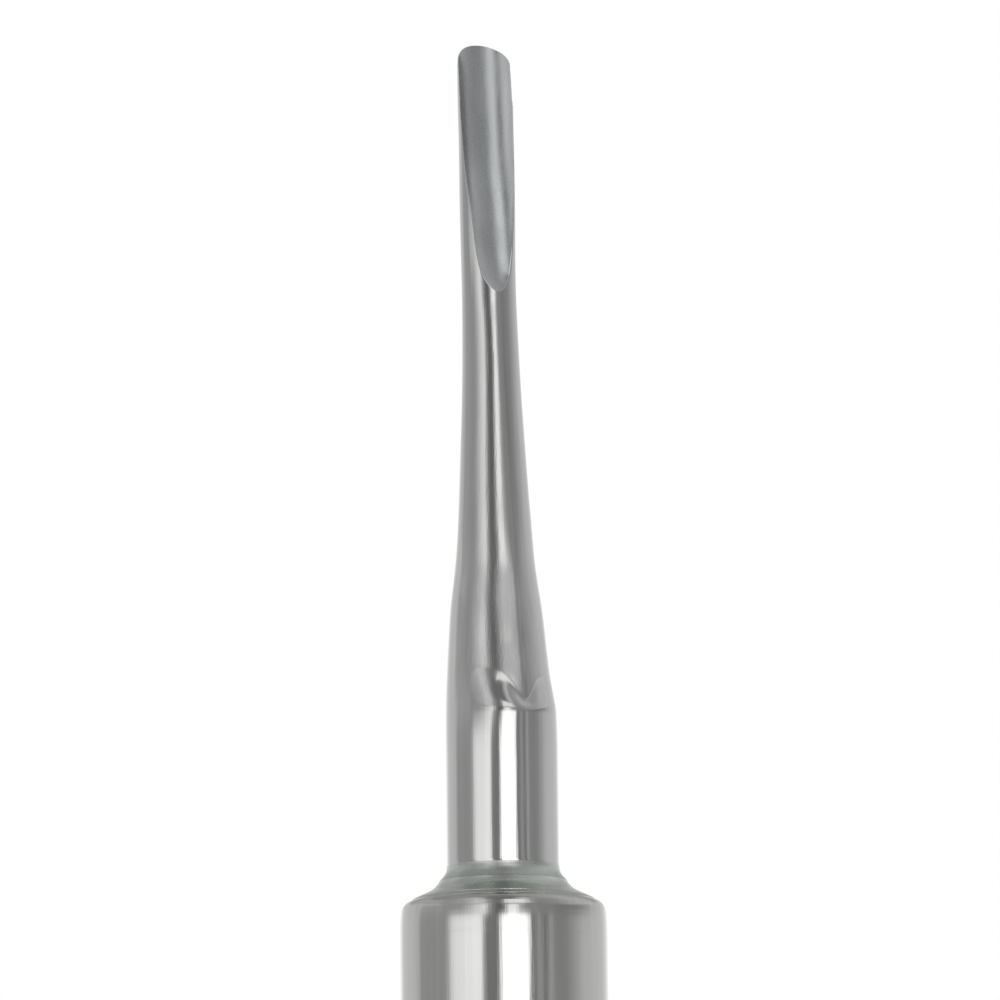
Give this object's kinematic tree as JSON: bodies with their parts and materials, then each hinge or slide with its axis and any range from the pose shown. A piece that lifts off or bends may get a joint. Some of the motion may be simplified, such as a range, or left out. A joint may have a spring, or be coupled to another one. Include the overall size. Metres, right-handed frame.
{
  "type": "dental elevator",
  "caption": "Straight dental elevator: concave gouge blade with a rounded tip on a tapering shank, set by a coved collar in a round fluted handle with a flat butt.",
  "frame": {"origin": "centre of the flat face on the butt end of the handle, which the instrument can stand on", "axes": "+Z along the instrument from the butt to the blade's tip; the gouge's concave face opens towards -Y; the shape is symmetric about X = 0, except that the ridge ground down the front of the shank leans 6 degrees round towards +X"},
  "size_m": [0.0168, 0.0168, 0.1503],
  "materials": {
    "polished_steel": "polished",
    "handle_steel": "polished",
    "collar_steel": "satin",
    "silver_braze": "gloss",
    "machined_steel": "satin"
  },
  "bodies": {
    "root": {"working_end": "polished_steel", "handle_shell": "handle_steel", "butt_cap": "handle_steel", "ferrule": "collar_steel", "shank_braze": "silver_braze", "mouth_braze": "silver_braze", "butt_braze": "silver_braze", "tang_bush": "machined_steel", "cross_pin": "machined_steel"}
  },
  "joints": []
}
